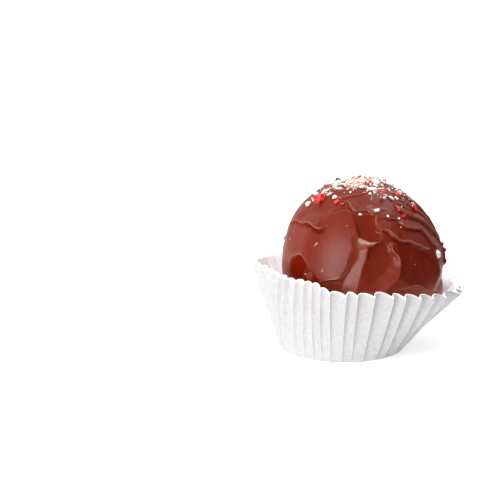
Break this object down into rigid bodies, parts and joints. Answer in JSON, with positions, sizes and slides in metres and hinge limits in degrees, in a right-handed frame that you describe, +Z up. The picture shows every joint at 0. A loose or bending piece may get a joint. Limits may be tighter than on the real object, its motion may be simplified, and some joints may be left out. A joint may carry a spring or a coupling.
{
  "type": "hot chocolate sphere",
  "caption": "Hand-dipped chocolate ball topped with crushed candy, sitting in a fluted white paper case.",
  "frame": {"origin": "middle of the paper case's flat underside", "axes": "+Z up, -Y towards the side that the picture shows, +X to that viewer's right"},
  "size_m": [0.0544, 0.0569, 0.0433],
  "materials": {
    "milk_chocolate": "milk chocolate coating, satin with soft gloss on the smooth smears",
    "white_candy": "crushed white hard candy",
    "red_candy": "crushed red hard candy",
    "greaseproof_paper": "thin white greaseproof paper, matt and faintly mottled"
  },
  "bodies": {
    "root": {"chocolate_sphere": "milk_chocolate", "paper_case": "greaseproof_paper"}
  },
  "joints": []
}
